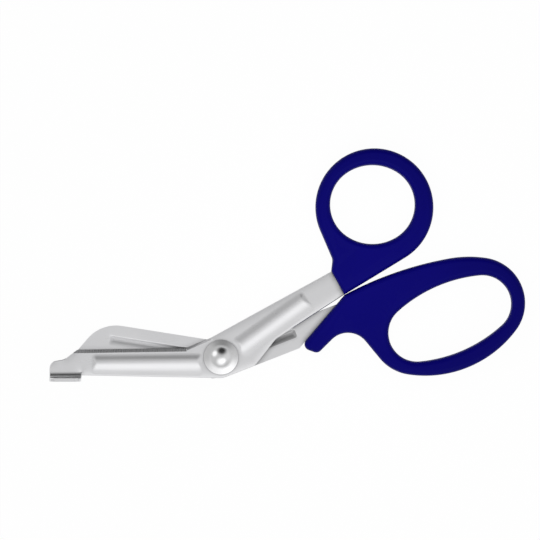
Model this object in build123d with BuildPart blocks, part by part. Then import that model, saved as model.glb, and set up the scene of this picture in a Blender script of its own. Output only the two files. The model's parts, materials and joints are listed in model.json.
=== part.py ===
from build123d import *
from math import asin, atan2, cos, degrees, hypot, pi, radians, sin, sqrt
import os

# Bandage scissors, closed and lying flat, in millimetres.
# The foot points to -X, the thumb ring lies towards +Y and the lower blade is on top.
# The origin is under the middle of the footprint; plan sizes are taken from the pivot axis.

# Stamped sheet of both blades
sheet = 1.5
blade_gap = 0.1
edge_break = 0.25
corner_round = 3.0
pivot_round = 7.0

# Handle mouldings, and how they meet and part when closed
handle_thickness = 9.0
handle_round = 2.2
wall_round_share = 0.45
stop_gap = 0.3
stop_angle = 31.4
jaw_angle = 3.1

# Pivot rivet, its dished washer on top and its burr underneath
rivet_radius = 2.0
rivet_clearance = 0.05
head_radius = 4.0
head_rim = 0.5
head_height = 2.1
washer_radius = 6.9
washer_seat = 4.3
washer_sheet = 0.5
washer_dish = 0.6
burr_radius = 4.5
burr_thickness = 0.6
tail_radius = 3.3
tail_height = 0.9

# Lower blade: cutting edge, nose and safety foot
edge_start = 13.8
edge_length = 43.8
edge_rise_heel = 3.6
edge_rise_toe = 2.9
bevel_width = 1.3
heel_bevel_width = 0.9
edge_land = 0.3
tooth_pitch = 0.8
tooth_depth = 0.25
nose_length = 11.0
nose_flat = 5.9
nose_dip = 0.9
nose_drop = 1.9
nose_round = 3.0
nose_root_round = 6.0
foot_length = 12.8
foot_line = 5.9
foot_bend = 2.3
foot_width = 6.5
foot_corner = 2.6
belly_step = 1.35
belly_heel = 2.3
belly_reach = 11.4
belly_round = 2.5

# Lower blade: shank to the thumb handle
lower_shank_angle = 28.8
lower_shank_top = 8.8
lower_shank_low = 1.8
lower_shank_reach = 55.3
lower_neck_reach = 22.8
lower_neck_low = 4.2
lower_neck_round = 4.0

# Upper blade: spine, hidden cutting edge and shank to the finger handle
upper_lap_toe = 2.6
upper_lap_heel = 4.8
upper_toe_over = 1.9
spine_setback = 11.5
spine_peak = 13.8
spine_round = 15.0
spine_at_pivot = 6.2
upper_shank_angle = 21.3
upper_shank_low = 8.1
upper_shank_top = 2.9
upper_step_reach = 6.9
upper_step_low = 6.6

# Pressed stiffening ribs: a crest with a short flank above it and a long one below it
rib_height = 0.5
rib_crest = 0.5
rib_end = 2.4
rib_corner = 1.5
rib_tip_share = 0.9
rib_steps = 6
rib_skew = 0.625
rib_groove_inset = 0.3
rib_from_washer = 0.6
rib_from_edge = 0.6
lower_rib_flank = 3.3
lower_rib_setback = 5.8
lower_rib_drop_heel = 1.6
lower_rib_drop_toe = 2.1
lower_shank_rib_angle = 35.4
lower_shank_rib_low = 0.1
lower_shank_rib_setback = 15.9
upper_rib_flank = 1.8
upper_rib_setback = 14.8
upper_rib_rise = 7.2
upper_rib_fall_heel = 2.2
upper_rib_fall_toe = 3.2
upper_shank_rib_low = 1.3
upper_shank_rib_fall = 3.6
upper_shank_rib_setback = 13.5

# Tangs held in the handles, with holes that the moulding fills
lower_tang_width = 5.6
lower_tang_length = 18.0
upper_tang_width = 7.0
upper_tang_length = 21.2
tang_round = 1.0
key_hole = 3.0
key_count = 2
key_pitch = 7.5
key_setback = 4.0

# Thumb handle
ring_setback = 5.0
ring_wall = 6.45
ring_hole_half = 15.9
ring_hole_stretch = 1.15
ring_hole_bulge = 0.5
ring_hole_shift_x = -0.8
ring_hole_shift_y = 1.1
waist_setback = 2.8
waist_rise = 3.9
waist_round = 4.0

# Finger handle: front, hook, finger rest and oval loop, each placed from the one before
front_angle = 49.66
front_length = 27.17
hook_length = 19.6
hook_drop = 10.2
hook_width = 7.3
hook_end_slope = -20.0
hook_blunt = 0.2
rest_radius = 9.2
rest_wall = 16.42
loop_drop = 9.29
loop_half_length = 25.9
loop_half_width = 13.9
loop_bulge = 2.3
loop_tilt = 23.9
wall_far = 5.6
wall_near = 6.8
wall_top = 9.3
wall_low = 6.9
rim_bulge = 3.9
rim_turn = -1.6


# Plan geometry

def from_point(point, angle, along, across=0.0):
    """Point reached from another by going along a direction and across it, left positive."""
    a = radians(angle)
    return (
        point[0] + along * cos(a) - across * sin(a),
        point[1] + along * sin(a) + across * cos(a),
    )


def turned(angle, along, across=0.0):
    """Point along and across a line through the pivot at this angle."""
    return from_point((0, 0), angle, along, across)


def meet(point, angle, other, other_angle):
    """Where two lines cross, each given by a point and an angle."""
    a = radians(angle)
    b = radians(other_angle)
    run = ((other[0] - point[0]) * sin(b) - (other[1] - point[1]) * cos(b)) / sin(b - a)
    return from_point(point, angle, run)


def bearing(start, end):
    """Angle of the line from one point to another."""
    return degrees(atan2(end[1] - start[1], end[0] - start[0]))


def off_line(point, on_line, angle):
    """How far a point lies off a line, left positive."""
    a = radians(angle)
    return (point[1] - on_line[1]) * cos(a) - (point[0] - on_line[0]) * sin(a)


def touch(point, centre, radius, side):
    """Point where a line from a point touches a circle, on its left (1) or right (-1)."""
    away = hypot(centre[0] - point[0], centre[1] - point[1])
    lean = degrees(asin(radius / away))
    return from_point(point, bearing(point, centre) + side * lean, sqrt(away**2 - radius**2))


def easing_radius(point, angle, centre, radius):
    """Radius of the arc that leaves a point at an angle, bends right and runs into a circle."""
    right = turned(angle, 0, -1)
    away = (point[0] - centre[0], point[1] - centre[1])
    lean = right[0] * away[0] + right[1] * away[1]
    return (radius**2 - away[0] ** 2 - away[1] ** 2) / (2 * (lean + radius))


class Oval:
    """Oval of four tangent arcs: two round ends, and two sides that bulge past them."""

    def __init__(self, centre, half_length, half_width, bulge, tilt):
        self.centre = centre
        self.tilt = tilt
        self.end_radius = half_width - bulge
        self.reach = half_length - self.end_radius
        self.side_radius = (self.reach**2 + half_width**2 - self.end_radius**2) / (2 * bulge)
        self.sink = self.side_radius - half_width
        self.join = degrees(atan2(self.sink, self.reach))

    def far_end(self):
        return from_point(self.centre, self.tilt, self.reach)

    def near_end(self):
        return from_point(self.centre, self.tilt, -self.reach)

    def top_side(self):
        return from_point(self.centre, self.tilt, 0, -self.sink)

    def low_side(self):
        return from_point(self.centre, self.tilt, 0, self.sink)

    def arc(self, centre, radius, start, end):
        """Arc run clockwise between two angles measured from the long axis."""
        return CenterArc(centre, radius, start + self.tilt, end - start)

    def draw(self):
        """All four arcs, for the line being built."""
        self.arc(self.top_side(), self.side_radius, 180 - self.join, self.join)
        self.arc(self.far_end(), self.end_radius, self.join, -self.join)
        self.arc(self.low_side(), self.side_radius, -self.join, self.join - 180)
        self.arc(self.near_end(), self.end_radius, self.join - 180, -180 - self.join)


# Heights from the mid-plane between the blades
inner = blade_gap / 2
outer = inner + sheet
head_base = outer + washer_dish + washer_sheet
tail_base = -outer - burr_thickness

# Lower blade outline
edge_end = edge_start + edge_length
toe = edge_end + nose_length
edge_heel = (-edge_start, edge_rise_heel)
edge_toe = (-edge_end, edge_rise_toe)
nose_root = (nose_flat - toe, -nose_dip)
nose_corner = (-toe, -nose_drop)
foot_front = (-toe, -foot_line)
foot_back = (foot_length - toe, -foot_line)
belly_front = (foot_length - toe, -foot_line - belly_step)
pivot_bottom = turned(upper_shank_angle, -belly_heel, -upper_shank_low)
belly_corner = turned(upper_shank_angle, belly_reach, -upper_shank_low)
neck_root = turned(lower_shank_angle, lower_neck_reach, -lower_neck_low)
shank_low = turned(lower_shank_angle, lower_shank_reach, -lower_shank_low)
shank_high = turned(lower_shank_angle, lower_shank_reach, lower_shank_top)
shank_root = turned(lower_shank_angle, 0, lower_shank_top)
lower_tang_mid = (lower_shank_top - lower_shank_low) / 2
lower_tang_root = turned(lower_shank_angle, lower_shank_reach, lower_tang_mid)

# Thumb handle outline
ring_hole_reach = ring_hole_half + ring_hole_stretch
ring_radius = ring_hole_reach + ring_wall
ring_along = ring_setback + ring_radius
ring_centre = from_point(shank_low, stop_angle, ring_along, ring_radius)
ring_hole_centre = (ring_centre[0] + ring_hole_shift_x, ring_centre[1] + ring_hole_shift_y)
ring_hole = Oval(ring_hole_centre, ring_hole_reach, ring_hole_half, ring_hole_bulge, 0)
ring_thinnest = ring_wall - hypot(ring_hole_shift_x, ring_hole_shift_y)
ring_round = min(handle_round, ring_thinnest * wall_round_share)
ring_touch_low = from_point(shank_low, stop_angle, ring_along)
waist = turned(lower_shank_angle, lower_shank_reach + waist_setback, lower_shank_top + waist_rise)
ring_touch_high = touch(waist, ring_centre, ring_radius, 1)

# Finger handle outline
loop_round = min(handle_round, min(wall_far, wall_near, wall_top, wall_low) * wall_round_share)
stop_corner = from_point(shank_low, stop_angle, 0, -stop_gap)
hook_tip = from_point(stop_corner, front_angle, -front_length)
hook_heel = from_point(hook_tip, hook_end_slope, hook_width)
hook_round = handle_round + hook_blunt
rest = (hook_tip[0] + hook_length, hook_tip[1] + hook_drop)
loop_near = (rest[0] + rest_wall, rest[1] - loop_drop)
loop_centre = from_point(loop_near, loop_tilt, loop_half_length)
loop = Oval(loop_centre, loop_half_length, loop_half_width, loop_bulge, loop_tilt)
rim_tilt = loop_tilt + rim_turn
rim = Oval(
    from_point(loop.centre, rim_tilt, (wall_far - wall_near) / 2, (wall_top - wall_low) / 2),
    loop_half_length + (wall_far + wall_near) / 2,
    loop_half_width + (wall_top + wall_low) / 2,
    rim_bulge,
    rim_tilt,
)
jaw_slope = stop_angle - jaw_angle
neck_radius = easing_radius(stop_corner, jaw_slope, rim.top_side(), rim.side_radius)
neck_centre = from_point(stop_corner, jaw_slope, 0, -neck_radius)
neck_join = bearing(neck_centre, rim.top_side())
rest_touch = touch(rest, rim.near_end(), rim.end_radius, -1)
rest_normal = bearing(rest, rest_touch) - 90


def front_at(angle, across):
    """Where a line beside the pivot reaches the front of the finger handle."""
    return meet(turned(angle, 0, across), angle, hook_tip, front_angle)


# Upper blade outline
upper_toe = (-edge_end - upper_toe_over, edge_rise_toe - upper_lap_toe)
upper_heel = (-edge_start, edge_rise_heel - upper_lap_heel)
spine_corner = (upper_toe[0] + spine_setback, spine_peak)
spine_angle = bearing(spine_corner, (0, spine_at_pivot))
upper_low = turned(upper_shank_angle, 0, -upper_shank_low)
upper_high = turned(upper_shank_angle, 0, upper_shank_top)
upper_step = turned(upper_shank_angle, -upper_step_reach, -upper_step_low)
spine_root = meet(spine_corner, spine_angle, upper_high, upper_shank_angle)
upper_tang_mid = (upper_shank_top - upper_shank_low) / 2
upper_tang_root = front_at(upper_shank_angle, upper_tang_mid)

# The footprint, foot to loop and foot to ring, is centred on the origin
loop_end = rim.far_end()[0] + rim.end_radius
ring_top = ring_centre[1] + ring_radius
foot_bottom = foot_line + foot_bend + sheet
pivot_x = (toe - loop_end) / 2
pivot_y = (foot_bottom - ring_top) / 2
pivot = Plane(origin=(pivot_x, pivot_y, handle_thickness / 2))
pivot_axis = Axis(pivot.origin, (0, 0, 1))
pivot_section = Plane(origin=pivot.origin, x_dir=(1, 0, 0), z_dir=(0, -1, 0))

# Ribs of each blade: the crest's left and right end, and how far the long flank falls from each
rib_seat = washer_radius + rib_from_washer
belly_slope = bearing(belly_front, pivot_bottom)
lower_crest_toe = (lower_rib_setback + rib_end - edge_end, -lower_rib_drop_toe)
lower_crest_heel = (-rib_seat - rib_end, -lower_rib_drop_heel)
lower_shank_crest = turned(lower_shank_rib_angle, rib_seat + rib_end, -lower_shank_rib_low)
lower_shank_fall = -off_line(neck_root, lower_shank_crest, lower_shank_rib_angle) - rib_from_edge
lower_ribs = [
    (
        lower_crest_toe,
        lower_crest_heel,
        off_line(lower_crest_toe, belly_front, belly_slope) - rib_from_edge,
        off_line(lower_crest_heel, belly_front, belly_slope) - rib_from_edge,
    ),
    (
        lower_shank_crest,
        turned(lower_shank_rib_angle, lower_shank_reach - lower_shank_rib_setback, -lower_shank_rib_low),
        lower_shank_fall,
        lower_shank_fall,
    ),
]
upper_crest_toe = (upper_rib_setback - edge_end, upper_rib_rise)
upper_shank_front = front_at(upper_shank_angle, -upper_shank_rib_low)
upper_ribs = [
    (
        upper_crest_toe,
        meet(upper_crest_toe, spine_angle, edge_heel, 90),
        upper_rib_fall_toe,
        upper_rib_fall_heel,
    ),
    (
        turned(upper_shank_angle, rib_seat + rib_end, -upper_shank_rib_low),
        from_point(upper_shank_front, upper_shank_angle, -upper_shank_rib_setback),
        upper_shank_rib_fall,
        upper_shank_rib_fall,
    ),
]


def stamped_plan(corners):
    """Face of a stamped outline, from its corners and the radius that rounds each."""
    with BuildSketch() as plan:
        with BuildLine():
            Polyline(*[corner for corner, _ in corners], close=True)
        make_face()
        for corner, radius in corners:
            if radius:
                fillet(plan.vertices().sort_by_distance(corner)[0], radius)
    return plan.sketch


def rib_plan(start, end, above, below_start, below_end, beyond, corner):
    """Rounded outline about a rib's crest line."""
    angle = bearing(start, end)
    return stamped_plan(
        [
            (from_point(start, angle, -beyond, -below_start), corner),
            (from_point(end, angle, beyond, -below_end), corner),
            (from_point(end, angle, beyond, above), corner),
            (from_point(start, angle, -beyond, above), corner),
        ]
    )


def rib_form(rib, flank, inset, base, side):
    """Rib raised from a base height: from its foot, drawn in by an inset, it swells to its crest."""
    start, end, fall_start, fall_end = rib
    half = rib_crest / 2
    foot = [size - inset for size in (flank, fall_start, fall_end, rib_end, rib_corner)]
    crest = [half, half, half, half, half * rib_tip_share]
    with BuildPart() as form:
        for step in range(rib_steps + 1):
            run = step / rib_steps
            long_run = run**rib_skew
            rise = (1 - cos(pi * run)) / 2
            runs = (run, long_run, long_run, run, run)
            sizes = [low + (high - low) * share for low, high, share in zip(foot, crest, runs)]
            with BuildSketch(pivot.offset(side * (base + rise * rib_height))):
                add(rib_plan(start, end, *sizes))
        loft(ruled=True)
    return form.part


def edge_near(part, start, end, height):
    """Edge of a part that passes nearest the middle of two plan points, at a height."""
    middle = ((start[0] + end[0]) / 2, (start[1] + end[1]) / 2, height)
    return part.edges().sort_by_distance(pivot.from_local_coords(middle))[0]


def flat_rims(part):
    """Edges round a moulding's top and bottom faces."""
    flats = part.faces().filter_by(Plane.XY).sort_by(Axis.Z)
    return flats[0].edges() + flats[-1].edges()


def ground_wedge(start, end, side, width, overrun=0.0):
    """Metal that grinding takes off the outer side of an edge, as far as an overrun past its end."""
    along = Vector(end[0] - start[0], end[1] - start[1])
    inward = Vector(0, 0, side).cross(along)
    across = Plane(pivot.from_local_coords((*start, side * inner)), x_dir=inward, z_dir=along)
    slope = (sheet - edge_land) / width
    with BuildPart() as wedge:
        with BuildSketch(across):
            Polygon(
                (-sheet, edge_land - slope * sheet),
                (width + sheet, sheet + slope * sheet),
                (-sheet, sheet + slope * sheet),
                align=None,
            )
        extrude(amount=along.length + overrun)
    return wedge.part


def tang_keys(root, angle, length):
    """Centres of the holes through a tang, counted back from its end."""
    return [from_point(root, angle, length - key_setback - row * key_pitch) for row in range(key_count)]


# Safety foot: the lower blade's nose bent up into a blunt flange
foot_section = Plane(pivot.from_local_coords((-toe, 0, 0)), x_dir=(0, 1, 0), z_dir=(1, 0, 0))
bend_top = outer + foot_bend
foot_top = inner + foot_width

with BuildPart() as safety_foot:
    with BuildSketch(foot_section):
        with BuildLine():
            Line((-foot_line, outer), (-foot_line, inner))
            CenterArc((-foot_line, bend_top), foot_bend + sheet, -90, -90)
            Line((-foot_bottom, bend_top), (-foot_bottom, foot_top))
            Line((-foot_bottom, foot_top), (sheet - foot_bottom, foot_top))
            Line((sheet - foot_bottom, foot_top), (sheet - foot_bottom, bend_top))
            CenterArc((-foot_line, bend_top), foot_bend, 180, 90)
        make_face()
    extrude(amount=foot_length)
    fillet(safety_foot.edges().filter_by(Axis.Y).group_by(Axis.Z)[-1], foot_corner)
    chamfer(safety_foot.edges().filter_by(Axis.X).group_by(Axis.Z)[-1], edge_break)

# Lower blade, the upper one in the pile: edge, foot, shank and tang in one sheet
lower_tang_half = lower_tang_width / 2
lower_plan = stamped_plan(
    [
        (foot_front, 0),
        (foot_back, 0),
        (belly_front, 0),
        (pivot_bottom, pivot_round),
        (belly_corner, belly_round),
        (neck_root, lower_neck_round),
        (shank_low, 0),
        (from_point(lower_tang_root, lower_shank_angle, 0, -lower_tang_half), 0),
        (from_point(lower_tang_root, lower_shank_angle, lower_tang_length, -lower_tang_half), tang_round),
        (from_point(lower_tang_root, lower_shank_angle, lower_tang_length, lower_tang_half), tang_round),
        (from_point(lower_tang_root, lower_shank_angle, 0, lower_tang_half), 0),
        (shank_high, 0),
        (shank_root, corner_round),
        (edge_heel, corner_round),
        (edge_toe, 0),
        (nose_root, nose_root_round),
        (nose_corner, nose_round),
    ]
)
edge_middle = ((edge_heel[0] + edge_toe[0]) / 2, (edge_heel[1] + edge_toe[1]) / 2)
edge_run = (edge_toe[0] - edge_heel[0], edge_toe[1] - edge_heel[1])
tooth_row = Plane(pivot.from_local_coords((*edge_middle, inner)), x_dir=edge_run, z_dir=(0, 0, 1))
tooth_count = int(edge_length / tooth_pitch) - 1

with BuildPart() as lower_blade:
    with BuildSketch(pivot.offset(inner)):
        add(lower_plan)
    extrude(amount=sheet)
    for start, end in [(belly_front, pivot_bottom), (shank_high, shank_root), (edge_toe, nose_root)]:
        chamfer(edge_near(lower_blade, start, end, outer), edge_break)
    for rib in lower_ribs:
        add(rib_form(rib, lower_rib_flank, 0, outer, 1))
        add(rib_form(rib, lower_rib_flank, rib_groove_inset, inner, 1), mode=Mode.SUBTRACT)
    add(safety_foot.part)
    add(ground_wedge(edge_heel, edge_toe, 1, bevel_width, sheet), mode=Mode.SUBTRACT)
    add(ground_wedge(shank_root, edge_heel, 1, heel_bevel_width), mode=Mode.SUBTRACT)
    with BuildSketch(tooth_row):
        with GridLocations(tooth_pitch, 0, tooth_count, 1):
            Polygon((-tooth_depth, -tooth_depth), (tooth_depth, -tooth_depth), (0, tooth_depth), align=None)
    extrude(amount=sheet, mode=Mode.SUBTRACT)
    with Locations(pivot.offset(outer)):
        Hole(rivet_radius)
        with Locations(*tang_keys(lower_tang_root, lower_shank_angle, lower_tang_length)):
            Hole(key_hole / 2)

# Upper blade, the lower one in the pile
upper_tang_half = upper_tang_width / 2
upper_plan = stamped_plan(
    [
        (upper_toe, 0),
        (upper_heel, 0),
        (upper_step, corner_round),
        (upper_low, pivot_round),
        (front_at(upper_shank_angle, -upper_shank_low), 0),
        (front_at(upper_shank_angle, upper_tang_mid - upper_tang_half), 0),
        (from_point(upper_tang_root, upper_shank_angle, upper_tang_length, -upper_tang_half), tang_round),
        (from_point(upper_tang_root, upper_shank_angle, upper_tang_length, upper_tang_half), tang_round),
        (front_at(upper_shank_angle, upper_tang_mid + upper_tang_half), 0),
        (front_at(upper_shank_angle, upper_shank_top), 0),
        (spine_root, pivot_round),
        (spine_corner, spine_round),
    ]
)

with BuildPart() as upper_blade:
    with BuildSketch(pivot.offset(-outer)):
        add(upper_plan)
    extrude(amount=sheet)
    shank_edge = (upper_low, front_at(upper_shank_angle, -upper_shank_low))
    for start, end in [(spine_corner, spine_root), shank_edge]:
        chamfer(edge_near(upper_blade, start, end, -outer), edge_break)
    for rib in upper_ribs:
        add(rib_form(rib, upper_rib_flank, 0, outer, -1))
        add(rib_form(rib, upper_rib_flank, rib_groove_inset, inner, -1), mode=Mode.SUBTRACT)
    add(ground_wedge(upper_heel, upper_toe, -1, bevel_width, sheet), mode=Mode.SUBTRACT)
    with Locations(pivot.offset(-inner)):
        Hole(rivet_radius + rivet_clearance)
        with Locations(*tang_keys(upper_tang_root, upper_shank_angle, upper_tang_length)):
            Hole(key_hole / 2)

# Thumb handle, moulded round the lower blade's tang
with BuildPart() as thumb_handle:
    with BuildSketch(pivot.offset(-handle_thickness / 2)) as thumb_plan:
        with BuildLine():
            Line(shank_low, ring_touch_low)
            ring_end = bearing(ring_centre, ring_touch_high) % 360
            CenterArc(ring_centre, ring_radius, stop_angle - 90, ring_end - stop_angle + 90)
            Polyline(ring_touch_high, waist, shank_high, shank_low)
        make_face()
        fillet(thumb_plan.vertices().sort_by_distance(waist)[0], waist_round)
        with BuildLine():
            ring_hole.draw()
        make_face(mode=Mode.SUBTRACT)
    extrude(amount=handle_thickness)
    fillet(flat_rims(thumb_handle), ring_round)
    add(lower_blade.part, mode=Mode.SUBTRACT)

# Finger handle, moulded round the upper blade's tang
with BuildPart() as finger_handle:
    with BuildSketch(pivot.offset(-handle_thickness / 2)) as finger_plan:
        with BuildLine():
            CenterArc(neck_centre, neck_radius, jaw_slope + 90, neck_join - jaw_slope - 90)
            rim.arc(rim.top_side(), rim.side_radius, neck_join - rim.tilt, rim.join)
            rim.arc(rim.far_end(), rim.end_radius, rim.join, -rim.join)
            rim.arc(rim.low_side(), rim.side_radius, -rim.join, rim.join - 180)
            rim.arc(rim.near_end(), rim.end_radius, rim.join - 180, rest_normal - rim.tilt)
            Polyline(rest_touch, rest, hook_heel, hook_tip, stop_corner)
        make_face()
        for corner, radius in [(rest, rest_radius), (hook_heel, hook_round), (hook_tip, hook_round)]:
            fillet(finger_plan.vertices().sort_by_distance(corner)[0], radius)
        with BuildLine():
            loop.draw()
        make_face(mode=Mode.SUBTRACT)
    extrude(amount=handle_thickness)
    fillet(flat_rims(finger_handle), loop_round)
    add(upper_blade.part, mode=Mode.SUBTRACT)

# Rivet: domed head on top, peened tail underneath
head_top = head_base + head_height
tail_end = tail_base - tail_height

with BuildPart() as pivot_rivet:
    with BuildSketch(pivot_section):
        with BuildLine():
            Line((0, tail_end), (0, head_top))
            TangentArc((0, head_top), (head_radius, head_base + head_rim), tangent=(1, 0))
            Polyline(
                (head_radius, head_base + head_rim),
                (head_radius, head_base),
                (rivet_radius, head_base),
                (rivet_radius, tail_base),
                (tail_radius, tail_base),
            )
            TangentArc((0, tail_end), (tail_radius, tail_base), tangent=(1, 0))
        make_face()
    revolve(axis=pivot_axis)

# Dished washer that keeps the blades pressed together
with BuildPart() as tension_washer:
    with BuildSketch(pivot_section):
        with BuildLine():
            Polyline(
                (rivet_radius, head_base),
                (rivet_radius, outer + washer_dish),
                (washer_seat, outer + washer_dish),
                (washer_radius, outer),
                (washer_radius, outer + washer_sheet),
                (washer_seat, head_base),
                close=True,
            )
        make_face()
    revolve(axis=pivot_axis)

# Burr under the peened tail
with BuildPart() as rivet_burr:
    with BuildSketch(pivot.offset(tail_base)):
        Circle(burr_radius)
        Circle(rivet_radius, mode=Mode.SUBTRACT)
    extrude(amount=burr_thickness)
    chamfer(rivet_burr.edges().group_by(Axis.Z)[0].sort_by(SortBy.LENGTH)[-1], edge_break)

# One file for each piece
pieces = {
    "lower_blade": lower_blade,
    "upper_blade": upper_blade,
    "thumb_handle": thumb_handle,
    "finger_handle": finger_handle,
    "pivot_rivet": pivot_rivet,
    "tension_washer": tension_washer,
    "rivet_burr": rivet_burr,
}
os.makedirs("parts", exist_ok=True)
for name, piece in pieces.items():
    piece.part.label = name
    export_step(piece.part, f"parts/{name}.step")
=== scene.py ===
import json
import math

import bmesh
import bpy
import numpy as np
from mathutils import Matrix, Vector


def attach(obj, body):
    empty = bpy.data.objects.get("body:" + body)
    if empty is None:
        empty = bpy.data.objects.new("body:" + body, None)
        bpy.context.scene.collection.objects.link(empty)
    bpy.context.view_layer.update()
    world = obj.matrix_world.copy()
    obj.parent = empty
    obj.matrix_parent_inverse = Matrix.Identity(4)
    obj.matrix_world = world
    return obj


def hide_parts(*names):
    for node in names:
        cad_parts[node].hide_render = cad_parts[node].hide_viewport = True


# Lengths are in metres unless a note says otherwise

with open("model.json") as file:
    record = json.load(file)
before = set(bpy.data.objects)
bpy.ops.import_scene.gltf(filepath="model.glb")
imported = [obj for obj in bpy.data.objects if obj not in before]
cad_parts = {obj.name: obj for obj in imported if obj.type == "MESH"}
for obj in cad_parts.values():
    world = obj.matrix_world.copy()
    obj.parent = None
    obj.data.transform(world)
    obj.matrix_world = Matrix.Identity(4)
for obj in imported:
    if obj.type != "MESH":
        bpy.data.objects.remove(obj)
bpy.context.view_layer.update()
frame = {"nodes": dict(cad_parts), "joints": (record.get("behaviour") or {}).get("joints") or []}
pivot = Vector(frame["joints"][0]["pos_m"])
print("frame loaded, pivot at", [round(c, 4) for c in pivot])

scene = bpy.context.scene
scene.view_settings.view_transform = "Standard"


# Camera: straight down on the scissors, framed as in the photograph

viewSettings = {
    "imagePixels": 540,
    "pixelsPerMetre": 2500,
    "aim": (-0.0069, -0.0020, 0.006),
    "distance": 1.6,
    "sensor": 36.0,  # mm
}


def makeCamera(s):
    width = s["imagePixels"] / s["pixelsPerMetre"]
    data = bpy.data.cameras.new("overhead")
    data.sensor_width = s["sensor"]
    data.lens = s["sensor"] * s["distance"] / width
    camera = bpy.data.objects.new("overhead", data)
    camera.location = Vector(s["aim"]) + Vector((0, 0, s["distance"]))
    scene.collection.objects.link(camera)
    scene.camera = camera
    print("camera lens", round(data.lens, 1), "mm")


makeCamera(viewSettings)


# Node helpers

noiseRange = (0.3, 0.7)  # where most of a noise's values lie


def addNode(tree, kind, inputs=None, **settings):
    node = tree.nodes.new(kind)
    for name, value in settings.items():
        setattr(node, name, value)
    for name, value in (inputs or {}).items():
        if hasattr(value, "is_linked"):  # another node's output
            tree.links.new(value, node.inputs[name])
        else:
            node.inputs[name].default_value = value
    return node


def newMaterial(name):
    material = bpy.data.materials.new(name)
    material.use_nodes = True
    return material, material.node_tree, material.node_tree.nodes["Principled BSDF"]


def stretched(tree, scale=(1, 1, 1), centre=(0, 0, 0)):
    # object coordinates, counted from a centre and scaled to a pattern
    coords = addNode(tree, "ShaderNodeTexCoord").outputs["Object"]
    moved = addNode(tree, "ShaderNodeMapping", {"Vector": coords, "Location": [-c for c in centre]})
    return addNode(tree, "ShaderNodeMapping", {"Vector": moved.outputs[0], "Scale": scale}).outputs[0]


def noise(tree, vector, scale=1.0, detail=4.0):
    values = {"Vector": vector, "Scale": scale, "Detail": detail}
    return addNode(tree, "ShaderNodeTexNoise", values).outputs["Fac"]


def remap(tree, value, low, high, source=noiseRange):
    ends = {"From Min": source[0], "From Max": source[1], "To Min": low, "To Max": high}
    return addNode(tree, "ShaderNodeMapRange", {"Value": value, **ends}).outputs["Result"]


def maths(tree, operation, a, b=0):
    return addNode(tree, "ShaderNodeMath", {0: a, 1: b}, operation=operation).outputs[0]


def blend(tree, a, b, share):
    # a share of the first pattern and the rest of the second
    return maths(tree, "ADD", maths(tree, "MULTIPLY", a, share), maths(tree, "MULTIPLY", b, 1 - share))


def mixColour(tree, factor, s):
    node = addNode(tree, "ShaderNodeMix", {"Factor": factor}, data_type="RGBA")
    sockets = {socket.identifier: socket for socket in [*node.inputs, *node.outputs]}
    sockets["A_Color"].default_value = (*s["dark"], 1)
    sockets["B_Color"].default_value = (*s["light"], 1)
    return sockets["Result_Color"]


def setFinish(tree, shader, colour, gloss, relief, s):
    # colour, roughness and fine relief of one surface, each from its own pattern
    tree.links.new(colour, shader.inputs["Base Color"])
    tree.links.new(remap(tree, gloss, s["roughLow"], s["roughHigh"]), shader.inputs["Roughness"])
    bump = addNode(tree, "ShaderNodeBump", {"Height": relief, "Distance": s["bumpDepth"]})
    tree.links.new(bump.outputs["Normal"], shader.inputs["Normal"])
    shader.inputs["Metallic"].default_value = s["metallic"]


# Materials

bladeFinish = {
    "light": (0.80, 0.80, 0.81),
    "dark": (0.72, 0.72, 0.735),
    "metallic": 1.0,
    "grainScale": (45, 2600, 2600),  # rolled grain, long in X
    "grainDetail": 3,
    "grainShare": 0.6,  # of the roughness, the rest follows the clouds
    "cloudScale": 60,
    "roughLow": 0.26,
    "roughHigh": 0.36,
    "bumpDepth": 2.0e-6,
    "shadeReach": 0.0024,  # painted shade where the blades lap
    "shadeRange": (0.5, 0.97),  # openness at which it is full and at which it ends
    "shadeLevel": 0.48,
    "shadeSamples": 12,
}
# the polishing wheel doesn't reach into the blades' pressed grooves
grooveFinish = {**bladeFinish, "roughLow": 0.55, "roughHigh": 0.70}
# and the shanks' grooves are painted darker: painted shade
shankGrooveShade = {**bladeFinish, "light": (0.47, 0.47, 0.475), "dark": (0.38, 0.38, 0.39)}


def makeBladeSteel(name, s):
    material, tree, shader = newMaterial(name)
    grain = noise(tree, stretched(tree, s["grainScale"]), detail=s["grainDetail"])
    cloud = noise(tree, stretched(tree), scale=s["cloudScale"])
    # metal near a lapping piece is darkened by an ambient occlusion mask: painted shade
    reach = {"Distance": s["shadeReach"]}
    around = addNode(tree, "ShaderNodeAmbientOcclusion", reach, samples=s["shadeSamples"])
    shadeFactor = remap(tree, around.outputs["AO"], s["shadeLevel"], 1.0, s["shadeRange"])
    colours = {0: mixColour(tree, cloud, s), "Scale": shadeFactor}
    shadedColour = addNode(tree, "ShaderNodeVectorMath", colours, operation="SCALE").outputs[0]
    setFinish(tree, shader, shadedColour, blend(tree, grain, cloud, s["grainShare"]), grain, s)
    return material


# the ground bevels are painted much darker than the satin steel: painted shade for the dark line along the
# cutting edge; the grinding lines are the steel's own
groundFinish = {
    "light": (0.50, 0.50, 0.51),
    "dark": (0.38, 0.38, 0.39),
    "metallic": 1.0,
    "lineScale": (3200, 120, 120),  # grinding lines across the edge
    "lineDetail": 3,
    "roughLow": 0.24,
    "roughHigh": 0.38,
    "bumpDepth": 4.0e-6,
}


def makeGroundSteel(s):
    material, tree, shader = newMaterial("groundEdge")
    lines = noise(tree, stretched(tree, s["lineScale"]), detail=s["lineDetail"])
    setFinish(tree, shader, mixColour(tree, lines, s), lines, lines, s)
    return material


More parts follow.
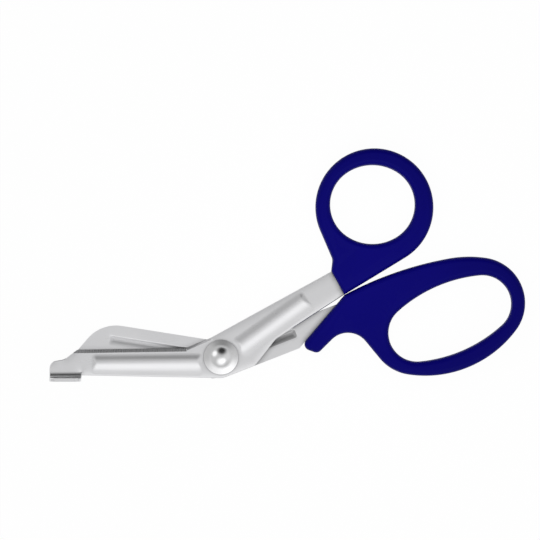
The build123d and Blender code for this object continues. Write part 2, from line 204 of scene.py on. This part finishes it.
rivetFinish = {
    "light": (0.86, 0.86, 0.865),
    "dark": (0.76, 0.76, 0.77),
    "metallic": 1.0,
    "ringScale": 3400,  # turning rings, per metre of radius
    "cloudScale": 500,
    "roughLow": 0.10,
    "roughHigh": 0.17,
    "bumpDepth": 1.2e-6,
}
washerFinish = {**rivetFinish, "light": (0.79, 0.79, 0.795), "dark": (0.69, 0.69, 0.70)}


def makeRivetSteel(name, s):
    material, tree, shader = newMaterial(name)
    flat = stretched(tree, (1, 1, 0), centre=pivot)
    radius = addNode(tree, "ShaderNodeVectorMath", {0: flat}, operation="LENGTH").outputs["Value"]
    rings = maths(tree, "SINE", maths(tree, "MULTIPLY", radius, s["ringScale"] * math.tau))
    cloud = noise(tree, stretched(tree), scale=s["cloudScale"])
    setFinish(tree, shader, mixColour(tree, cloud, s), cloud, rings, s)
    return material


handleFinish = {
    "light": (0.0021, 0.0008, 0.148),
    "dark": (0.0012, 0.0005, 0.125),
    "metallic": 0.0,
    "specular": 0.045,
    "grainScale": 2400,
    "grainDetail": 2,
    "grainShare": 0.5,
    "cloudScale": 55,
    "roughLow": 0.36,
    "roughHigh": 0.50,
    "bumpDepth": 9.0e-6,
}


def makeHandlePlastic(s):
    material, tree, shader = newMaterial("bluePlastic")
    place = stretched(tree)
    cloud = noise(tree, place, scale=s["cloudScale"])
    grain = noise(tree, place, scale=s["grainScale"], detail=s["grainDetail"])
    gloss = blend(tree, grain, cloud, s["grainShare"])
    setFinish(tree, shader, mixColour(tree, cloud, s), gloss, grain, s)
    shader.inputs["Specular IOR Level"].default_value = s["specular"]
    return material


bladeSteel = makeBladeSteel("satinSteel", bladeFinish)
grooveSteel = makeBladeSteel("dullSteel", grooveFinish)
shadedGrooveSteel = makeBladeSteel("shadedGrooveSteel", shankGrooveShade)
groundSteel = makeGroundSteel(groundFinish)
rivetSteel = makeRivetSteel("turnedSteel", rivetFinish)
washerSteel = makeRivetSteel("spunSteel", washerFinish)
handlePlastic = makeHandlePlastic(handleFinish)
print("materials made:", len(bpy.data.materials))


# Pieces: each solid welded into one smooth skin

weldGap = 1e-6


def weldedShape(mesh):
    shape = bmesh.new()
    shape.from_mesh(mesh)
    bmesh.ops.remove_doubles(shape, verts=shape.verts, dist=weldGap)
    return shape


def weldedCopy(node, name, sharpAngle, prepare=None):
    mesh = frame["nodes"][node].data.copy()
    mesh.name = name
    if "custom_normal" in mesh.attributes:
        mesh.attributes.remove(mesh.attributes["custom_normal"])
    shape = weldedShape(mesh)
    if prepare:
        prepare(shape)
    shape.to_mesh(mesh)
    shape.free()
    mesh.shade_smooth()
    mesh.set_sharp_from_angle(angle=math.radians(sharpAngle))
    mesh.materials.clear()
    piece = bpy.data.objects.new(name, mesh)
    scene.collection.objects.link(piece)
    even = piece.modifiers.new("evenShading", "WEIGHTED_NORMAL")
    even.keep_sharp = True
    return piece


def finishPiece(piece, node, body, materials):
    for material in materials:
        piece.data.materials.append(material)
    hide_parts(node)
    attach(piece, body)
    print("piece", piece.name, "faces", len(piece.data.polygons))


bladeShape = {
    "sheet": 0.0015,
    "gap": 0.0001,  # between the blades, halved by the pivot's height
    "sharpAngle": 24,
    "bevelUpright": (0.55, 0.78),  # how far a ground face still looks up or down
    "bevelSideways": 0.6,
    "bevelFrom": 0.0042,  # left of the pivot
    "grooveDepth": (0.00003, 0.00056),
    "grooveUpright": 0.75,
    "grooveTo": 0.054,  # left of the pivot
}
bladeMaterials = [bladeSteel, groundSteel, grooveSteel, shadedGrooveSteel]


def groundFaces(piece, lean, s):
    # the bevels along the cutting edge lean to one side and lie left of the pivot
    least, most = s["bevelUpright"]
    count = 0
    for face in piece.data.polygons:
        left = pivot.x - face.center.x
        leans = least < abs(face.normal.z) < most and lean * face.normal.y > s["bevelSideways"]
        onEdge = left > s["bevelFrom"] and lean * (face.center.y - pivot.y) > -s["bevelFrom"]
        if leans and onEdge:
            face.material_index = bladeMaterials.index(groundSteel)
            count += 1
    print("ground faces on", piece.name, count)


def grooveFaces(piece, inward, s):
    # the backs of the pressed ribs, sunk into the face that looks at the other blade
    shallow, deep = s["grooveDepth"]
    innerFace = pivot.z - inward * s["gap"] / 2
    count = 0
    for face in piece.data.polygons:
        depth = inward * (innerFace - face.center.z)
        left = pivot.x - face.center.x
        if inward * face.normal.z > s["grooveUpright"] and shallow < depth < deep and left < s["grooveTo"]:
            # grooves on the shanks, right of the pivot, take the steel painted darker as shade
            face.material_index = bladeMaterials.index(grooveSteel if left > 0 else shadedGrooveSteel)
            count += 1
    print("groove faces on", piece.name, count)


# The lower blade's outer flats are shaded as if the sheet were rolled over a little at its stamped edges

rollShape = {
    "outerFace": pivot.z + bladeShape["gap"] / 2 + bladeShape["sheet"],
    "flatSlack": 1e-5,  # how far from that height a face still counts as flat
    "flatUpright": 0.9999,
    "wallUpright": 0.9,  # a wall beside a flat looks up less than this
    "shortestRim": 1e-7,
    "gridStep": 0.0012,
    "gridSnap": 0.00004,  # a corner this near to a grid line counts as on it
    "edgeTilt": 6.0,  # degrees, at the edge itself
    "reach": 0.005,
    "fade": 3,  # power by which the tilt falls off within its reach
}


def isOuterFlat(face, centre, s):
    return face.normal.z > s["flatUpright"] and abs(centre.z - s["outerFace"]) < s["flatSlack"]


def outerFlats(shape, s):
    return [face for face in shape.faces if isOuterFlat(face, face.calc_center_median(), s)]


def gridFlats(shape, s):
    # cut the outer flats into a grid fine enough to shade the roll
    for axis in (0, 1):
        places = [vert.co[axis] for vert in shape.verts]
        lines = np.arange(min(places), max(places), s["gridStep"])[1:]
        along = Vector((axis == 0, axis == 1, 0))
        for line in lines:
            faces = outerFlats(shape, s)
            edges = dict.fromkeys(edge for face in faces for edge in face.edges)
            verts = dict.fromkeys(vert for face in faces for vert in face.verts)
            cut = [*faces, *edges, *verts]
            place = along * float(line)
            bmesh.ops.bisect_plane(shape, geom=cut, dist=s["gridSnap"], plane_co=place, plane_no=along)
    bmesh.ops.triangulate(shape, faces=outerFlats(shape, s), ngon_method="BEAUTY")


def stampedRims(mesh, flats, s):
    # both ends of each edge between a flat and an unground wall, and which way that wall looks
    satin = bladeMaterials.index(bladeSteel)
    beside = {}
    for face in mesh.polygons:
        for key in face.edge_keys:
            beside.setdefault(key, []).append(face)
    rims = []
    for key, faces in beside.items():
        others = [face for face in faces if face.index not in flats]
        walls = [face for face in others if face.normal.z < s["wallUpright"] and face.material_index == satin]
        if walls and len(others) < len(faces):
            ends = [mesh.vertices[index].co.xy for index in key]
            rims.append([*ends, walls[0].normal.xy.normalized()])
    return np.array(rims).swapaxes(0, 1)


def rollEdges(piece, s):
    # tilt the shading normals of the outer flats towards the nearest stamped edge
    mesh = piece.data
    ready = piece.evaluated_get(bpy.context.evaluated_depsgraph_get()).data
    normals = [Vector(corner.vector) for corner in ready.corner_normals]
    flats = {face.index for face in mesh.polygons if isOuterFlat(face, face.center, s)}
    starts, ends, outwards = stampedRims(mesh, flats, s)
    spans = ends - starts
    squares = np.maximum((spans ** 2).sum(axis=1), s["shortestRim"] ** 2)
    for index in flats:
        face = mesh.polygons[index]
        for loop, vert in zip(face.loop_indices, face.vertices):
            away = np.array(mesh.vertices[vert].co.xy) - starts
            share = np.clip((away * spans).sum(axis=1) / squares, 0, 1)
            gaps = np.hypot(*(away - spans * share[:, None]).T)
            nearest = gaps.argmin()
            fade = max(0.0, 1 - gaps[nearest] / s["reach"]) ** s["fade"]
            slope = math.tan(math.radians(s["edgeTilt"] * fade))
            normals[loop] = Vector((*(outwards[nearest] * slope), 1)).normalized()
    piece.modifiers.clear()
    mesh.normals_split_custom_set(normals)
    print("rolled edges on", piece.name, "rims", len(starts), "flats", len(flats))


def gridLowerBlade(shape):
    gridFlats(shape, rollShape)


lowerBlade = weldedCopy("lower_blade", "lowerBlade", bladeShape["sharpAngle"], gridLowerBlade)
groundFaces(lowerBlade, 1, bladeShape)
grooveFaces(lowerBlade, -1, bladeShape)
rollEdges(lowerBlade, rollShape)
finishPiece(lowerBlade, "lower_blade", "thumb_side", bladeMaterials)
upperBlade = weldedCopy("upper_blade", "upperBlade", bladeShape["sharpAngle"])
groundFaces(upperBlade, -1, bladeShape)
grooveFaces(upperBlade, 1, bladeShape)
finishPiece(upperBlade, "upper_blade", "finger_side", bladeMaterials)

handleShape = {"sharpAngle": 40}

thumbHandle = weldedCopy("thumb_handle", "thumbHandle", handleShape["sharpAngle"])
finishPiece(thumbHandle, "thumb_handle", "thumb_side", [handlePlastic])
fingerHandle = weldedCopy("finger_handle", "fingerHandle", handleShape["sharpAngle"])
finishPiece(fingerHandle, "finger_handle", "finger_side", [handlePlastic])

# Parting ridge that the two halves of the mould leave round each handle

ridgeShape = {"height": pivot.z, "radius": 0.00013, "sides": 8}


def makeRidgeTree():
    tree = bpy.data.node_groups.new("partingRidge", "GeometryNodeTree")
    for name, kind in [
        ("Outline", "NodeSocketGeometry"),
        ("Ridge Radius", "NodeSocketFloat"),
        ("Ridge Sides", "NodeSocketInt"),
        ("Plastic", "NodeSocketMaterial"),
    ]:
        tree.interface.new_socket(name, in_out="INPUT", socket_type=kind)
    tree.interface.new_socket("Ridge", in_out="OUTPUT", socket_type="NodeSocketGeometry")
    given = addNode(tree, "NodeGroupInput").outputs
    path = addNode(tree, "GeometryNodeMeshToCurve", {"Mesh": given["Outline"]})
    circle = {"Radius": given["Ridge Radius"], "Resolution": given["Ridge Sides"]}
    section = addNode(tree, "GeometryNodeCurvePrimitiveCircle", circle)
    sweep = {"Curve": path.outputs[0], "Profile Curve": section.outputs[0]}
    swept = addNode(tree, "GeometryNodeCurveToMesh", sweep)
    real = addNode(tree, "GeometryNodeRealizeInstances", {"Geometry": swept.outputs[0]})
    coat = {"Geometry": real.outputs[0], "Material": given["Plastic"]}
    coated = addNode(tree, "GeometryNodeSetMaterial", coat)
    addNode(tree, "NodeGroupOutput", {"Ridge": coated.outputs[0]})
    return tree


def outlineAt(node, name, height):
    # the handle's wall cut level at the mould's parting plane
    shape = weldedShape(frame["nodes"][node].data)
    everything = shape.verts[:] + shape.edges[:] + shape.faces[:]
    cut = bmesh.ops.bisect_plane(shape, geom=everything, plane_co=(0, 0, height), plane_no=(0, 0, 1))
    kept = {element for element in cut["geom_cut"] if isinstance(element, bmesh.types.BMVert)}
    spare = [vert for vert in shape.verts if vert not in kept]
    bmesh.ops.delete(shape, geom=spare, context="VERTS")
    mesh = bpy.data.meshes.new(name)
    shape.to_mesh(mesh)
    shape.free()
    return mesh


def makeRidge(tree, node, name, body, s):
    ridge = bpy.data.objects.new(name, outlineAt(node, name, s["height"]))
    scene.collection.objects.link(ridge)
    modifier = ridge.modifiers.new("ridge", "NODES")
    modifier.node_group = tree
    values = {"Ridge Radius": s["radius"], "Ridge Sides": s["sides"], "Plastic": handlePlastic}
    for socket in tree.interface.items_tree:
        if socket.in_out == "INPUT" and socket.name in values:
            modifier[socket.identifier] = values[socket.name]
    ready = ridge.evaluated_get(bpy.context.evaluated_depsgraph_get())
    mesh = bpy.data.meshes.new_from_object(ready)
    ridge.modifiers.clear()
    ridge.data = mesh
    mesh.shade_smooth()
    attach(ridge, body)
    print("ridge", name, "faces", len(mesh.polygons))


ridgeTree = makeRidgeTree()
makeRidge(ridgeTree, "thumb_handle", "thumbRidge", "thumb_side", ridgeShape)
makeRidge(ridgeTree, "finger_handle", "fingerRidge", "finger_side", ridgeShape)

rivetShape = {"sharpAngle": 30}

for node, name, steel in [
    ("pivot_rivet", "pivotRivet", rivetSteel),
    ("tension_washer", "tensionWasher", washerSteel),
    ("rivet_burr", "rivetBurr", washerSteel),
]:
    piece = weldedCopy(node, name, rivetShape["sharpAngle"])
    finishPiece(piece, node, "thumb_side", [steel])


# Stage: white floor and soft studio light

stageSettings = {
    "floorSize": 8.0,
    "floorColour": (0.95, 0.95, 0.95),
    "floorRoughness": 0.9,
    "floorGlow": 0.975,
    "roomLevel": 0.62,
}

# each lobe: compass angle from +X, angle from straight up, where it is full and where it ends, gain
skyLobes = {
    "frontWindow": (270, 36, 10, 45, 0.62),
    "darkWall": (82, 55, 14, 48, -0.58),
    "leftWindow": (150, 60, 9, 30, 0.6),
    "rightGlow": (5, 55, 10, 55, 0.14),
    "sideWindow": (312, 35, 6, 30, 0.38),
}

# close over where the handles meet, so that its light fades towards the loops
lampSettings = {
    "place": (0.026, -0.003, 0.072),
    "size": 0.06,
    "watts": 0.020,
}


def makeFloor(s):
    half = s["floorSize"] / 2
    mesh = bpy.data.meshes.new("floor")
    corners = [(-half, -half, 0), (half, -half, 0), (half, half, 0), (-half, half, 0)]
    mesh.from_pydata(corners, [], [(0, 1, 2, 3)])
    floor = bpy.data.objects.new("floor", mesh)
    scene.collection.objects.link(floor)
    material, tree, shader = newMaterial("whiteFloor")
    shader.inputs["Base Color"].default_value = (*s["floorColour"], 1)
    shader.inputs["Roughness"].default_value = s["floorRoughness"]
    path = addNode(tree, "ShaderNodeLightPath").outputs
    seen = maths(tree, "MAXIMUM", path["Is Camera Ray"], path["Is Glossy Ray"])
    seen = maths(tree, "MAXIMUM", seen, path["Is Transmission Ray"])
    share = maths(tree, "MULTIPLY", seen, s["floorGlow"])
    glow = addNode(tree, "ShaderNodeEmission", {"Color": (1, 1, 1, 1), "Strength": 1.0})
    shaders = {"Fac": share, 1: shader.outputs[0], 2: glow.outputs[0]}
    mix = addNode(tree, "ShaderNodeMixShader", shaders)
    tree.links.new(mix.outputs[0], tree.nodes["Material Output"].inputs["Surface"])
    mesh.materials.append(material)


def makeWorld(s, lobes):
    world = bpy.data.worlds.new("studio")
    scene.world = world
    world.use_nodes = True
    tree = world.node_tree
    direction = addNode(tree, "ShaderNodeTexCoord").outputs["Generated"]
    level = s["roomLevel"]
    for name, (compass, tilt, full, end, gain) in lobes.items():
        around, down = math.radians(compass), math.radians(tilt)
        centre = (math.sin(down) * math.cos(around), math.sin(down) * math.sin(around), math.cos(down))
        pair = {0: direction, 1: centre}
        near = addNode(tree, "ShaderNodeVectorMath", pair, operation="DOT_PRODUCT", label=name)
        away = maths(tree, "ARCCOSINE", near.outputs["Value"])
        ends = {"Value": away, "From Min": math.radians(end), "From Max": math.radians(full)}
        lobe = addNode(tree, "ShaderNodeMapRange", ends, interpolation_type="SMOOTHSTEP")
        level = maths(tree, "ADD", maths(tree, "MULTIPLY", lobe.outputs["Result"], gain), level)
    tree.links.new(level, tree.nodes["Background"].inputs["Strength"])
    tree.nodes["Background"].inputs["Color"].default_value = (1, 1, 1, 1)


def makeLamp(s):
    data = bpy.data.lights.new("handleLamp", "AREA")
    data.size = s["size"]
    data.energy = s["watts"]
    lamp = bpy.data.objects.new("handleLamp", data)
    lamp.location = s["place"]
    lamp.visible_glossy = False  # the steel mirrors the room, not the lamp
    scene.collection.objects.link(lamp)


makeFloor(stageSettings)
makeWorld(stageSettings, skyLobes)
makeLamp(lampSettings)
print("stage set")
